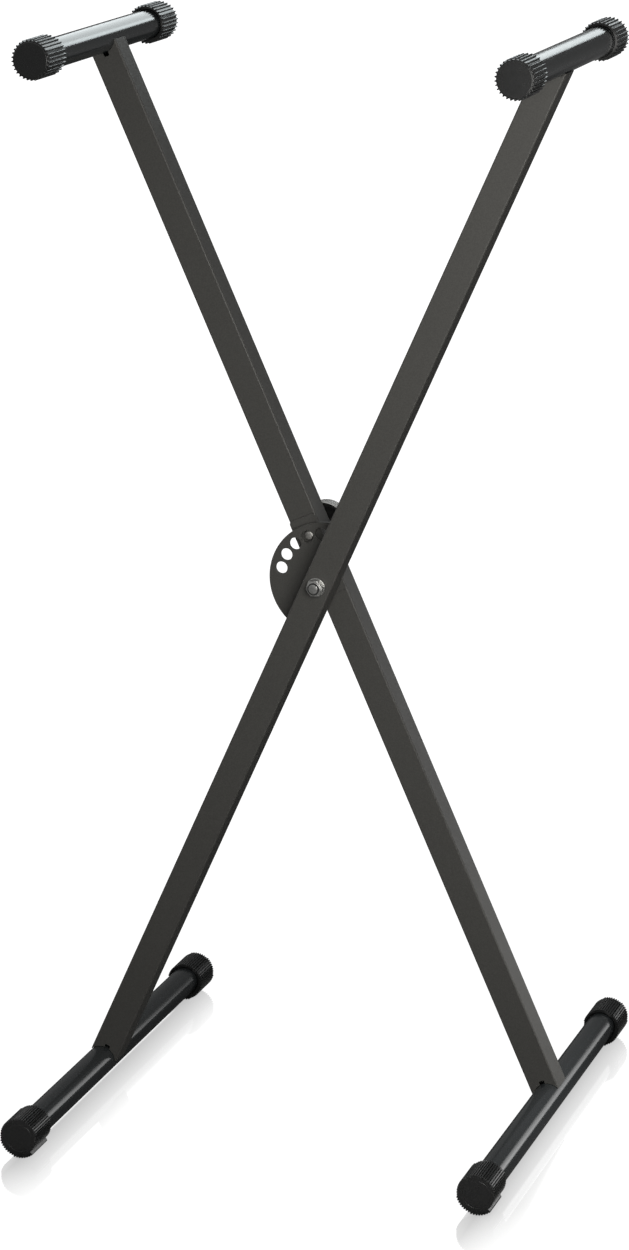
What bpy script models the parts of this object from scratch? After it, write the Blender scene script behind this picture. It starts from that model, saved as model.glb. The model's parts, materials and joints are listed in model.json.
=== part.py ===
# Keyboard stand: a single X of two square legs on a bolted pivot, locked by a spring pin in a drilled disc.
# Metres, +Z up. The origin is on the floor, midway between the two legs and under the pivot.
# X runs to the right and Y to the back. The front leg leans to the right, the rear leg to the left.

import math

import bmesh
import bpy
from mathutils import Matrix

# Stance
HALF_ANGLE = math.radians(24.1)
PIVOT_TO_TOP = 0.491
PIVOT_TO_FOOT = 0.4879
CLEAR = 0.0003

# Square legs
LEG_SIDE = 0.025
LEG_WALL = 0.0015
LEG_CORNER = 0.002
LEG_END_SHORT = 0.0052
NOTCH_WIDTH = 0.005
NOTCH_RISE = 0.0032
NOTCH_CORNER = 0.0009

# Round cross tubes
TUBE_R = 0.0125
TUBE_WALL = 0.0015
TOP_TUBE_LENGTH = 0.300
FOOT_TUBE_LENGTH = 0.440

# Lock disc on the front leg, with its row of holes
DISC_R = 0.050
DISC_THICK = 0.003
DISC_CHORD = 0.011
HOLE_INSET = 0.010
HOLE_R = 0.00525
HOLE_PITCH = math.radians(18.2)
HOLES_NARROWER = 1
HOLES_WIDER = 3

# Washer and plate between the disc and the rear leg
THRUST_WASHER_R = 0.012
THRUST_WASHER_THICK = 0.0015
PLATE_THICK = 0.0015
PLATE_PAST_PIN = 0.0164
PLATE_DOWN = 0.0138
PLATE_CORNER = 0.003

# Pivot bolt and what is on it
BOLT_R = 0.004
HEAD_ACROSS_FLATS = 0.013
HEX_TURN = math.radians(5)
HEAD_THICK = 0.0053
WASHER_R = 0.008
WASHER_THICK = 0.0015
NUT_HEX_THICK = 0.0048
NUT_COLLAR_THICK = 0.0017
NUT_COLLAR_R = 0.006
NUT_COLLAR_WALL = 0.0007
NUT_COLLAR_EASE = 0.0003
BOLT_END_OUT = 0.0009
BOLT_CHAMFER = 0.0006
SLEEVE_R = 0.006

# Lock pin, its barrel and its spring
PIN_R = 0.004
PIN_OUT = 0.0093
PIN_CHAMFER = 0.0007
PIN_DRAWN = 0.0128
COLLAR_R = 0.0052
COLLAR_THICK = 0.002
ROD_R = 0.003
BARREL_R = 0.007
BARREL_BORE_R = 0.0055
BARREL_OUT = 0.0074
BARREL_END_WALL = 0.003
BARREL_NUT_ACROSS_FLATS = 0.019
BARREL_NUT_THICK = 0.005
SPRING_MEAN_R = 0.0043
SPRING_WIRE_R = 0.0005
SPRING_TURNS = 7

# Pull knob
KNOB_R = 0.020
KNOB_LENGTH = 0.013
KNOB_STAND_OFF = 0.0008
KNOB_CHAMFER = 0.0006
KNURL_DEPTH = 0.0005
KNURLS = 32
RING_BORE_R = 0.0187
CORE_SET_BACK = 0.0006
CORE_RECESS_R = 0.0155
CORE_DISH_R = 0.012
CORE_DISH_DEPTH = 0.0008
ROD_IN_CORE = 0.0034

# End caps on the cross tubes
CAP_END_WALL = 0.0022
CAP_MOUTH_R = 0.0142
CAP_MOUTH_DEPTH = 0.003
CAP_BEVEL = 0.0007
RIB_CREST = 0.44
SUPPORT_CAP_LENGTH = 0.038
SUPPORT_CREST_R = 0.0168
SUPPORT_RIB_DEPTH = 0.0013
SUPPORT_RIBS = 30
SUPPORT_DISC_R = 0.0144
SUPPORT_DISC_RAISE = 0.001
FOOT_CAP_LENGTH = 0.035
FOOT_R = 0.0183
FOOT_STEP = 0.0006
FOOT_STEPS = 6
FOOT_RIBS_A_STEP = 8
FOOT_RIB_DEPTH = 0.0006
FOOT_GROOVE_R = 0.0115
FOOT_GROOVE_WIDTH = 0.0009
FOOT_GROOVE_DEPTH = 0.0007

# Facets round a full turn, and how far a cutter runs past what it cuts
FINE = 60
ROUND = 32
SMALL = 20
CUT_PAST = 0.001

# Places along Y that follow from the stack between the legs: disc, thrust washer and plate
leg_gap = DISC_THICK + THRUST_WASHER_THICK + PLATE_THICK + 4 * CLEAR
front_leg_y = -(leg_gap + LEG_SIDE) / 2
rear_leg_y = (leg_gap + LEG_SIDE) / 2
disc_y = -leg_gap / 2 + CLEAR
thrust_washer_y = disc_y + DISC_THICK + CLEAR
plate_y = thrust_washer_y + THRUST_WASHER_THICK + CLEAR
front_face_y = front_leg_y - LEG_SIDE / 2
back_face_y = rear_leg_y + LEG_SIDE / 2
rear_leg_front_y = rear_leg_y - LEG_SIDE / 2
pivot_height = PIVOT_TO_FOOT * math.cos(HALF_ANGLE) + FOOT_R

# The circle that the lock pin and the disc's holes stand on
hole_circle_r = DISC_R - HOLE_INSET

# Places along Y in the plunger, with the pin home in a hole
barrel_y = rear_leg_front_y + LEG_WALL + CLEAR
barrel_end_y = back_face_y + BARREL_OUT
spring_stop_y = barrel_end_y - BARREL_END_WALL
tip_y = disc_y - PIN_OUT
knob_y = back_face_y + KNOB_STAND_OFF
knob_end_y = knob_y + KNOB_LENGTH
core_floor_y = barrel_end_y + 2 * KNOB_STAND_OFF
core_back_y = knob_end_y - CORE_SET_BACK
rod_end_y = core_floor_y + ROD_IN_CORE

# A cap's outer face, counted from the end of its tube
cap_face_y = -CAP_END_WALL - CLEAR


def clear_scene():
    for old in list(bpy.data.objects):
        bpy.data.objects.remove(old, do_unlink=True)


def material(name, colour, metallic, roughness):
    made = bpy.data.materials.new(name)
    made.use_nodes = True
    shader = made.node_tree.nodes["Principled BSDF"]
    shader.inputs["Base Color"].default_value = (*colour, 1)
    shader.inputs["Metallic"].default_value = metallic
    shader.inputs["Roughness"].default_value = roughness
    return made


def empty(name, parent, location=(0, 0, 0), rotation=(0, 0, 0)):
    made = bpy.data.objects.new(name, None)
    bpy.context.scene.collection.objects.link(made)
    made.parent = parent
    made.location = location
    made.rotation_euler = rotation
    return made


def finish_mesh(name, bm):
    bmesh.ops.recalc_face_normals(bm, faces=bm.faces)
    mesh = bpy.data.meshes.new(name)
    bm.to_mesh(mesh)
    bm.free()
    mesh.shade_smooth()
    mesh.set_sharp_from_angle(angle=math.radians(35))
    return mesh


def turned(name, profile, steps=ROUND):
    """A mesh turned about Y from a closed profile of (radius, y) points; a radius of 0 lies on the axis."""
    bm = bmesh.new()
    verts = [bm.verts.new((radius, y, 0)) for radius, y in profile]
    edges = [bm.edges.new(pair) for pair in zip(verts, verts[1:] + verts[:1])]
    spun = {"cent": (0, 0, 0), "axis": (0, 1, 0), "angle": 2 * math.pi, "steps": steps, "use_merge": True}
    bmesh.ops.spin(bm, geom=verts + edges, **spun)
    bmesh.ops.remove_doubles(bm, verts=bm.verts, dist=1e-6)
    return finish_mesh(name, bm)


def ring_profile(inner, outer, start, end):
    return [(inner, start), (inner, end), (outer, end), (outer, start)]


def rod_profile(outer, start, end, start_chamfer=0.0, end_chamfer=0.0):
    profile = [(0, start), (0, end), (outer - end_chamfer, end)]
    if end_chamfer:
        profile.append((outer, end - end_chamfer))
    if start_chamfer:
        profile.append((outer, start + start_chamfer))
    return profile + [(outer - start_chamfer, start)]


def lofted(name, outlines):
    """A closed mesh through rings of points; each outline is (y, [(x, z), ...]) with one count of points."""
    bm = bmesh.new()
    rings = [[bm.verts.new((x, y, z)) for x, z in points] for y, points in outlines]
    for ring, following in zip(rings, rings[1:]):
        count = len(ring)
        for i in range(count):
            j = (i + 1) % count
            bm.faces.new((ring[i], ring[j], following[j], following[i]))
    bm.faces.new(rings[0])
    bm.faces.new(rings[-1])
    return finish_mesh(name, bm)


def placed(name, mesh, parent, finish, location=(0, 0, 0), rotation=(0, 0, 0)):
    made = bpy.data.objects.new(name, mesh)
    bpy.context.scene.collection.objects.link(made)
    made.parent = parent
    made.location = location
    made.rotation_euler = rotation
    if finish and not mesh.materials:
        mesh.materials.append(finish)
    return made


def cutter(name, mesh, parent, location=(0, 0, 0), rotation=(0, 0, 0)):
    made = placed(name, mesh, parent, None, location, rotation)
    made.hide_render = True
    made.display_type = "WIRE"
    return made


def cut(piece, tool):
    modifier = piece.modifiers.new("cut by " + tool.name, "BOOLEAN")
    modifier.operation = "DIFFERENCE"
    modifier.solver = "EXACT"
    modifier.object = tool


def join(piece, tool):
    modifier = piece.modifiers.new("join " + tool.name, "BOOLEAN")
    modifier.operation = "UNION"
    modifier.solver = "EXACT"
    modifier.object = tool


def polar(radius, angle):
    return radius * math.cos(angle), radius * math.sin(angle)


def rounded_rectangle(left, right, low, high, corner, steps=4):
    """Points of a rectangle with round corners, counter-clockwise."""
    points = []
    centres = [(right - corner, high - corner), (left + corner, high - corner),
               (left + corner, low + corner), (right - corner, low + corner)]
    for quarter, (x, z) in enumerate(centres):
        for step in range(steps + 1):
            dx, dz = polar(corner, math.pi / 2 * (quarter + step / steps))
            points.append((x + dx, z + dz))
    return points


def hexagon(across_flats):
    corner_r = across_flats / 2 / math.cos(math.pi / 6)
    return [polar(corner_r, HEX_TURN + math.pi / 3 * i) for i in range(6)]


def square_bar(name, side, corner, low, high):
    """A round-cornered square bar along Z, lofted along Y and then stood up."""
    outline = rounded_rectangle(-side / 2, side / 2, -side / 2, side / 2, corner)
    mesh = lofted(name, [(low, outline), (high, outline)])
    mesh.transform(Matrix.Rotation(math.pi / 2, 4, "X"))
    mesh.update()
    return mesh


def build_leg(name, frame, y, finish):
    """A hollow square leg with coped, notched ends and the pivot hole."""
    high = PIVOT_TO_TOP - LEG_END_SHORT
    low = LEG_END_SHORT - PIVOT_TO_FOOT
    leg = placed(name, square_bar(name, LEG_SIDE, LEG_CORNER, low, high), frame, finish, (0, y, 0))
    inner_side = LEG_SIDE - 2 * LEG_WALL
    inner_corner = max(LEG_CORNER - LEG_WALL, CLEAR)
    inside = square_bar("leg_inside", inner_side, inner_corner, low - LEG_SIDE, high + LEG_SIDE)
    cut(leg, cutter(name + "_inside", inside, frame, (0, y, 0)))
    through = (-LEG_SIDE, LEG_SIDE)
    cope = turned("cope", rod_profile(TUBE_R + CLEAR, *through))
    half = NOTCH_WIDTH / 2
    notch_outline = rounded_rectangle(-half, half, TUBE_R - half, TUBE_R + NOTCH_RISE, NOTCH_CORNER, 2)
    notch = lofted("notch", [(y_end, notch_outline) for y_end in through])
    for end, centre, turn in (("top", PIVOT_TO_TOP, math.pi), ("foot", -PIVOT_TO_FOOT, 0)):
        cut(leg, cutter(f"{name}_{end}_cope", cope, frame, (0, y, centre)))
        cut(leg, cutter(f"{name}_{end}_notch", notch, frame, (0, y, centre), (0, turn, 0)))
    bolt_hole = turned("leg_bolt_hole", rod_profile(BOLT_R + CLEAR, *through), SMALL)
    cut(leg, cutter(name + "_bolt_hole", bolt_hole, frame, (0, y, 0)))
    return leg


def build_cross_tube(name, frame, z, length, finish):
    mesh = turned(name, ring_profile(TUBE_R - TUBE_WALL, TUBE_R, -length / 2, length / 2))
    placed(name, mesh, frame, finish, (0, 0, z))


def ribbed_outline(crest_radii, depth, ribs_each, start, inset=0.0):
    """Flat-topped straight ribs, a run of them for each radius; the runs follow clockwise from start."""
    pitch = 2 * math.pi / (len(crest_radii) * ribs_each)
    points = []
    for run, radius in enumerate(crest_radii):
        for rib in range(ribs_each):
            middle = start - (run * ribs_each + rib + 0.5) * pitch
            half_crest = RIB_CREST / 2 * pitch
            crest = (radius - inset) / math.cos(half_crest)
            points.append(polar(crest, middle + half_crest))
            points.append(polar(crest, middle - half_crest))
            points.append(polar(radius - depth - inset, middle - 0.5 * pitch))
    return points


def cap_cutter(name, length):
    """The bore that slides over the tube, wider at its open end; the tube's end is at y = 0."""
    bore, mouth = TUBE_R + CLEAR, cap_face_y + length
    out, step = mouth + CUT_PAST, mouth - CAP_MOUTH_DEPTH
    profile = [(0, -CLEAR), (0, out), (CAP_MOUTH_R, out), (CAP_MOUTH_R, step), (bore, step), (bore, -CLEAR)]
    return turned(name, profile)


def support_cap_mesh():
    face = cap_face_y + SUPPORT_DISC_RAISE
    start = math.pi / 2 + math.pi / SUPPORT_RIBS
    ribs = [SUPPORT_CREST_R], SUPPORT_RIB_DEPTH, SUPPORT_RIBS, start
    inset = ribbed_outline(*ribs, CAP_BEVEL)
    full = ribbed_outline(*ribs)
    mouth = cap_face_y + SUPPORT_CAP_LENGTH
    return lofted("support_cap", [(face, inset), (face + CAP_BEVEL, full), (mouth, full)])


def support_disc_mesh():
    bevel = SUPPORT_DISC_RAISE * 0.6
    root = cap_face_y + SUPPORT_DISC_RAISE + CAP_END_WALL / 4
    profile = [(0, cap_face_y), (0, root), (SUPPORT_DISC_R, root), (SUPPORT_DISC_R, cap_face_y + bevel),
               (SUPPORT_DISC_R - bevel, cap_face_y)]
    return turned("support_disc", profile)


def foot_cap_mesh():
    pitch = 2 * math.pi / (FOOT_STEPS * FOOT_RIBS_A_STEP)
    start = -math.pi / 2 + (FOOT_RIBS_A_STEP // 2 + 1.5) * pitch
    radii = [FOOT_R - FOOT_STEP * step for step in range(FOOT_STEPS)]
    outline = ribbed_outline(radii, FOOT_RIB_DEPTH, FOOT_RIBS_A_STEP, start)
    return lofted("foot_cap", [(cap_face_y, outline), (cap_face_y + FOOT_CAP_LENGTH, outline)])


def foot_groove_mesh():
    radii = FOOT_GROOVE_R, FOOT_GROOVE_R + FOOT_GROOVE_WIDTH
    return turned("groove", ring_profile(*radii, cap_face_y - CUT_PAST, cap_face_y + FOOT_GROOVE_DEPTH))


def build_caps(prefix, frame, z, tube_length, mesh, cutters, joined, finish):
    """A cap on each end of a cross tube; the back one is the front one turned round."""
    upright = -frame.rotation_euler.y
    front = ("front", -tube_length / 2, (0, upright, 0))
    back = ("back", tube_length / 2, (0, -upright, math.pi))
    for end, y, turn in (front, back):
        name = f"{prefix}_{end}"
        cap = placed(name, mesh, frame, finish, (0, y, z), turn)
        for shape in joined:
            tool = cutter(f"{name}_{shape.name}", shape, frame, (0, y, z), turn)
            join(cap, tool)
        for shape in cutters:
            tool = cutter(f"{name}_{shape.name}", shape, frame, (0, y, z), turn)
            cut(cap, tool)


def build_disc(frame, finish):
    """The D-shaped disc: its straight side is behind the leg, and its holes are on an arc about the pivot."""
    opening = math.acos(DISC_CHORD / DISC_R)
    arc = [opening + (2 * math.pi - 2 * opening) * step / FINE for step in range(FINE + 1)]
    outline = [polar(DISC_R, angle) for angle in arc]
    mesh = lofted("lock_disc", [(0, outline), (DISC_THICK, outline)])
    disc = placed("lock_disc", mesh, frame, finish, (0, disc_y, 0))
    through = (-CUT_PAST, DISC_THICK + CUT_PAST)
    bolt_hole = turned("disc_bolt_hole", rod_profile(BOLT_R + CLEAR, *through), SMALL)
    cut(disc, cutter("disc_bolt_hole", bolt_hole, frame, (0, disc_y, 0)))
    pin_hole = turned("disc_pin_hole", rod_profile(HOLE_R, *through), SMALL)
    for number in range(-HOLES_NARROWER, HOLES_WIDER + 1):
        spread = 2 * HALF_ANGLE + number * HOLE_PITCH
        place = (-hole_circle_r * math.sin(spread), disc_y, hole_circle_r * math.cos(spread))
        cut(disc, cutter(f"disc_pin_hole_{number + HOLES_NARROWER + 1}", pin_hole, frame, place))


def build_pivot_plate(frame, finish):
    half = LEG_SIDE / 2
    outline = rounded_rectangle(-half, half, -PLATE_DOWN, hole_circle_r + PLATE_PAST_PIN, PLATE_CORNER)
    mesh = lofted("pivot_plate", [(0, outline), (PLATE_THICK, outline)])
    plate = placed("pivot_plate", mesh, frame, finish, (0, plate_y, 0))
    through = (-CUT_PAST, PLATE_THICK + CUT_PAST)
    bolt_hole = turned("plate_bolt_hole", rod_profile(BOLT_R + CLEAR, *through), SMALL)
    cut(plate, cutter("plate_bolt_hole", bolt_hole, frame, (0, plate_y, 0)))
    pin_hole = turned("plate_pin_hole", rod_profile(PIN_R + CLEAR, *through), SMALL)
    cut(plate, cutter("plate_pin_hole", pin_hole, frame, (0, plate_y, hole_circle_r)))


def build_sleeve(name, frame, y, finish):
    half = LEG_SIDE / 2 - LEG_WALL - CLEAR
    mesh = turned(name, ring_profile(BOLT_R + CLEAR, SLEEVE_R, -half, half), SMALL)
    placed(name, mesh, frame, finish, (0, y, 0))


def build_bolt(frame, steel, zinc, nylon):
    front_washer_y = front_face_y - CLEAR - WASHER_THICK
    nut_y = front_washer_y - CLEAR
    nut_hex_y = nut_y - NUT_HEX_THICK
    nut_end_y = nut_hex_y - NUT_COLLAR_THICK
    back_washer_y = back_face_y + CLEAR
    head_y = back_washer_y + WASHER_THICK + CLEAR

    washer = ring_profile(BOLT_R + CLEAR, WASHER_R, 0, WASHER_THICK)
    placed("front_washer", turned("front_washer", washer, SMALL), frame, steel, (0, front_washer_y, 0))
    placed("back_washer", turned("back_washer", washer, SMALL), frame, steel, (0, back_washer_y, 0))

    shank = rod_profile(BOLT_R, nut_end_y - BOLT_END_OUT, head_y + HEAD_THICK / 2, BOLT_CHAMFER)
    bolt = placed("pivot_bolt", turned("pivot_bolt", shank), frame, zinc)
    sides = hexagon(HEAD_ACROSS_FLATS)
    head_mesh = lofted("bolt_head", [(head_y, sides), (head_y + HEAD_THICK, sides)])
    join(bolt, cutter("bolt_head", head_mesh, frame))

    nut = placed("pivot_nut", lofted("pivot_nut", [(nut_hex_y, sides), (nut_y, sides)]), frame, zinc)
    collar = rod_profile(NUT_COLLAR_R, nut_end_y, nut_hex_y + CUT_PAST, NUT_COLLAR_EASE)
    join(nut, cutter("nut_collar", turned("nut_collar", collar), frame))
    bore = rod_profile(BOLT_R + CLEAR, nut_end_y - CUT_PAST, nut_y + CUT_PAST)
    cut(nut, cutter("nut_bore", turned("nut_bore", bore, SMALL), frame))
    seat_r = NUT_COLLAR_R - NUT_COLLAR_WALL
    seat = rod_profile(seat_r, nut_end_y - CUT_PAST, nut_hex_y)
    cut(nut, cutter("insert_seat", turned("insert_seat", seat, SMALL), frame))
    insert = ring_profile(BOLT_R + CLEAR, seat_r - CLEAR, nut_end_y + CLEAR, nut_hex_y - CLEAR)
    placed("nut_insert", turned("nut_insert", insert, SMALL), frame, nylon)


def build_thrust_washer(frame, finish):
    ring = ring_profile(BOLT_R + CLEAR, THRUST_WASHER_R, 0, THRUST_WASHER_THICK)
    placed("thrust_washer", turned("thrust_washer", ring), frame, finish, (0, thrust_washer_y, 0))


def cut_plunger_holes(leg, frame):
    front_wall = (rear_leg_front_y - LEG_WALL, rear_leg_y)
    pin_hole = turned("leg_pin_hole", rod_profile(PIN_R + CLEAR, *front_wall), SMALL)
    cut(leg, cutter("leg_pin_hole", pin_hole, frame, (0, 0, hole_circle_r)))
    back_wall = (rear_leg_y, back_face_y + LEG_WALL)
    barrel_hole = turned("leg_barrel_hole", rod_profile(BARREL_R + CLEAR, *back_wall), SMALL)
    cut(leg, cutter("leg_barrel_hole", barrel_hole, frame, (0, 0, hole_circle_r)))


def build_barrel(axis, steel, zinc):
    profile = [(BARREL_BORE_R, barrel_y), (BARREL_BORE_R, spring_stop_y), (ROD_R + CLEAR, spring_stop_y),
               (ROD_R + CLEAR, barrel_end_y), (BARREL_R, barrel_end_y), (BARREL_R, barrel_y)]
    placed("plunger_housing", turned("plunger_housing", profile, SMALL), axis, steel)
    nut_y = back_face_y + CLEAR
    sides = hexagon(BARREL_NUT_ACROSS_FLATS)
    nut_mesh = lofted("housing_nut", [(nut_y, sides), (nut_y + BARREL_NUT_THICK, sides)])
    nut = placed("housing_nut", nut_mesh, axis, zinc)
    bore = rod_profile(BARREL_R + CLEAR, nut_y - CUT_PAST, nut_y + BARREL_NUT_THICK + CUT_PAST)
    cut(nut, cutter("housing_nut_bore", turned("housing_nut_bore", bore, SMALL), axis))


def build_spring(axis, finish):
    """The spring as it is with the pin drawn back, between the pin's collar and the barrel's end wall."""
    start = barrel_y + PIN_DRAWN + COLLAR_THICK + CLEAR + SPRING_WIRE_R
    end = spring_stop_y - CLEAR - SPRING_WIRE_R
    points_a_turn = 8
    count = SPRING_TURNS * points_a_turn
    curve = bpy.data.curves.new("pin_spring", "CURVE")
    curve.dimensions = "3D"
    curve.bevel_depth = SPRING_WIRE_R
    curve.bevel_resolution = 1
    curve.use_fill_caps = True
    wire = curve.splines.new("POLY")
    wire.points.add(count)
    for i in range(count + 1):
        x, z = polar(SPRING_MEAN_R, 2 * math.pi * i / points_a_turn)
        wire.points[i].co = (x, start + (end - start) * i / count, z, 1)
    curve.materials.append(finish)
    placed("pin_spring", curve, axis, None)
    apart = (end - start) / SPRING_TURNS - 2 * SPRING_WIRE_R
    print(f"pin_spring: {apart * 1000:.2f} mm between its turns")


def build_pin(axis, steel, finish_ring, finish_core):
    pin = [(0, tip_y), (0, rod_end_y), (ROD_R, rod_end_y), (ROD_R, barrel_y + COLLAR_THICK),
           (COLLAR_R, barrel_y + COLLAR_THICK), (COLLAR_R, barrel_y), (PIN_R, barrel_y),
           (PIN_R, tip_y + PIN_CHAMFER), (PIN_R - PIN_CHAMFER, tip_y)]
    placed("lock_pin", turned("lock_pin", pin, SMALL), axis, steel)

    core_r, rod_hole_r = RING_BORE_R - CLEAR, ROD_R + CLEAR
    front_y, dish_y = knob_y + CORE_SET_BACK, core_back_y - CORE_DISH_DEPTH
    core = [(0, rod_end_y + CLEAR), (0, dish_y), (CORE_DISH_R - CORE_DISH_DEPTH, dish_y),
            (CORE_DISH_R, core_back_y), (core_r, core_back_y), (core_r, front_y), (CORE_RECESS_R, front_y),
            (CORE_RECESS_R, core_floor_y), (rod_hole_r, core_floor_y), (rod_hole_r, rod_end_y + CLEAR)]
    placed("knob_core", turned("knob_core", core), axis, finish_core)

    teeth = [KNOB_R]
    full = ribbed_outline(teeth, KNURL_DEPTH, KNURLS, 0)
    small = ribbed_outline(teeth, KNURL_DEPTH, KNURLS, 0, KNOB_CHAMFER)
    stations = [(knob_y, small), (knob_y + KNOB_CHAMFER, full), (knob_end_y - KNOB_CHAMFER, full),
                (knob_end_y, small)]
    ring = placed("knob_ring", lofted("knob_ring", stations), axis, finish_ring)
    bore = rod_profile(RING_BORE_R, knob_y - CUT_PAST, knob_end_y + CUT_PAST)
    cut(ring, cutter("knob_ring_bore", turned("knob_ring_bore", bore), axis))


def main():
    clear_scene()
    painted = material("painted steel", (0.055, 0.056, 0.052), 0.3, 0.45)
    satin = material("satin black tube", (0.022, 0.023, 0.024), 0.2, 0.3)
    plastic = material("black plastic", (0.018, 0.018, 0.019), 0.0, 0.55)
    steel = material("bright steel", (0.62, 0.63, 0.64), 1.0, 0.3)
    zinc = material("zinc plated steel", (0.66, 0.67, 0.68), 1.0, 0.38)
    nylon = material("black nylon", (0.03, 0.03, 0.031), 0.0, 0.5)

    pivot = empty("pivot", None, (0, 0, pivot_height))
    front = empty("front_frame", pivot, rotation=(0, HALF_ANGLE, 0))
    rear = empty("rear_frame", pivot, rotation=(0, -HALF_ANGLE, 0))
    plunger = empty("plunger_axis", rear, (0, 0, hole_circle_r))
    drawn_pin = empty("drawn_pin", plunger, (0, PIN_DRAWN, 0))

    build_leg("front_leg", front, front_leg_y, painted)
    rear_leg = build_leg("rear_leg", rear, rear_leg_y, painted)
    cut_plunger_holes(rear_leg, rear)

    support_shapes = support_cap_mesh(), [cap_cutter("bore", SUPPORT_CAP_LENGTH)], [support_disc_mesh()]
    foot_shapes = foot_cap_mesh(), [cap_cutter("bore", FOOT_CAP_LENGTH), foot_groove_mesh()], []
    for frame, top_side, foot_side in ((front, "right", "left"), (rear, "left", "right")):
        top = PIVOT_TO_TOP, TOP_TUBE_LENGTH
        build_cross_tube(f"{top_side}_support_tube", frame, *top, satin)
        build_caps(f"{top_side}_support_cap", frame, *top, *support_shapes, plastic)
        foot = -PIVOT_TO_FOOT, FOOT_TUBE_LENGTH
        build_cross_tube(f"{foot_side}_foot_tube", frame, *foot, satin)
        build_caps(f"{foot_side}_foot_cap", frame, *foot, *foot_shapes, plastic)

    build_disc(front, painted)
    build_sleeve("front_pivot_sleeve", front, front_leg_y, zinc)
    build_bolt(front, zinc, zinc, nylon)
    build_pivot_plate(rear, painted)
    build_sleeve("rear_pivot_sleeve", rear, rear_leg_y, zinc)
    build_thrust_washer(rear, nylon)
    build_barrel(plunger, steel, zinc)
    build_spring(plunger, steel)
    build_pin(drawn_pin, steel, steel, plastic)


main()
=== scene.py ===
# Keyboard stand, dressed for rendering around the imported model
import json
import math

import bmesh
import bpy
from mathutils import Matrix, Vector


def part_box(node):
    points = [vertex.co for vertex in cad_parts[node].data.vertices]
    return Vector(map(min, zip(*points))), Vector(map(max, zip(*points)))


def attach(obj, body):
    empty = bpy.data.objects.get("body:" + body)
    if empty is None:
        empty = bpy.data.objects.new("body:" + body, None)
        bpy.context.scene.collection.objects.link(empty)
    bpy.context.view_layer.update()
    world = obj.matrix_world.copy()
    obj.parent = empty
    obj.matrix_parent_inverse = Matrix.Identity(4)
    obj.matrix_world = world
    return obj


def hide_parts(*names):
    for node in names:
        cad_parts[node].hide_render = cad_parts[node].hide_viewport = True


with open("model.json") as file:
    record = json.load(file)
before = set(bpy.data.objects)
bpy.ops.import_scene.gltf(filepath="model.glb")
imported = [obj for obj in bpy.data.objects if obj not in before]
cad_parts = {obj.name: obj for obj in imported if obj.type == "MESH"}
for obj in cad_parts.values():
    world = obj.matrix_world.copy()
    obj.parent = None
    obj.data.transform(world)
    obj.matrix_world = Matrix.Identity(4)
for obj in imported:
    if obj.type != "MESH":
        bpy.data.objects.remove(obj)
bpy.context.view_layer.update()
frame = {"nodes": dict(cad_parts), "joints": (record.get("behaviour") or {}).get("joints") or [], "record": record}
print("frame loaded:", len(frame["nodes"]), "nodes")

joints = {joint["name"]: joint for joint in frame["joints"]}
pivot = Vector(joints["fold"]["pos_m"])
mm = 0.001
clear = 0.3 * mm  # air between neighbouring pieces
over = 1 * mm  # how far a cutter stands out of what it cuts


def boxOf(node):
    low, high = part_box(node)
    return low, high, (low + high) / 2


def leanOf(tubeNode):
    # angle of a leg from the vertical, from the pivot to the middle of its support tube
    middle = boxOf(tubeNode)[2]
    return math.atan2(middle.x - pivot.x, middle.z - pivot.z)


frontLean = leanOf("right_support_tube")
rearLean = leanOf("left_support_tube")


# mesh helpers

def polar(radius, angle):
    return radius * math.cos(angle), radius * math.sin(angle)


def arc(cx, cy, radius, start, end, steps):
    # points of an arc, angles in degrees
    angles = [math.radians(start + (end - start) * i / steps) for i in range(steps + 1)]
    return [(cx + radius * math.cos(a), cy + radius * math.sin(a)) for a in angles]


def meshFrom(name, bm, sharp=32):
    bmesh.ops.recalc_face_normals(bm, faces=bm.faces)
    mesh = bpy.data.meshes.new(name)
    bm.to_mesh(mesh)
    bm.free()
    mesh.shade_smooth()
    mesh.set_sharp_from_angle(angle=math.radians(sharp))
    return mesh


def turned(name, profile, steps=96):
    # a closed (radius, y) profile turned about the Y axis
    bm = bmesh.new()
    points = [bm.verts.new((radius, y, 0)) for radius, y in profile]
    edges = [bm.edges.new(pair) for pair in zip(points, points[1:] + points[:1])]
    bmesh.ops.spin(bm, geom=points + edges, cent=(0, 0, 0), axis=(0, 1, 0), angle=math.tau, steps=steps,
                   use_merge=True)
    bmesh.ops.remove_doubles(bm, verts=bm.verts, dist=1e-6)
    return meshFrom(name, bm)


def lofted(name, stations):
    # rings of (x, z) points at stations along y, closed at both ends
    bm = bmesh.new()
    rings = [[bm.verts.new((x, y, z)) for x, z in points] for y, points in stations]
    for ring, following in zip(rings, rings[1:]):
        for i in range(len(ring)):
            j = (i + 1) % len(ring)
            bm.faces.new((ring[i], ring[j], following[j], following[i]))
    bm.faces.new(rings[0])
    bm.faces.new(rings[-1])
    return meshFrom(name, bm)


def softRing(inner, outer, start, end, edge, steps=3):
    # profile of a washer or sleeve with rounded edges
    return (arc(inner + edge, start + edge, edge, 270, 180, steps)
            + arc(inner + edge, end - edge, edge, 180, 90, steps)
            + arc(outer - edge, end - edge, edge, 90, 0, steps)
            + arc(outer - edge, start + edge, edge, 360, 270, steps))


def softRod(outer, start, end, edge, steps=3):
    return ([(0, start), (0, end)] + arc(outer - edge, end - edge, edge, 90, 0, steps)
            + arc(outer - edge, start + edge, edge, 0, -90, steps))


def roundedBox(left, right, bottom, top, corner, steps=6):
    # outline of a rectangle with round corners
    return (arc(right - corner, top - corner, corner, 0, 90, steps)
            + arc(left + corner, top - corner, corner, 90, 180, steps)
            + arc(left + corner, bottom + corner, corner, 180, 270, steps)
            + arc(right - corner, bottom + corner, corner, 270, 360, steps))


def addPiece(name, mesh, matrix=None):
    piece = bpy.data.objects.new(name, mesh)
    bpy.context.scene.collection.objects.link(piece)
    if matrix:
        mesh.transform(matrix)
    return piece


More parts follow.
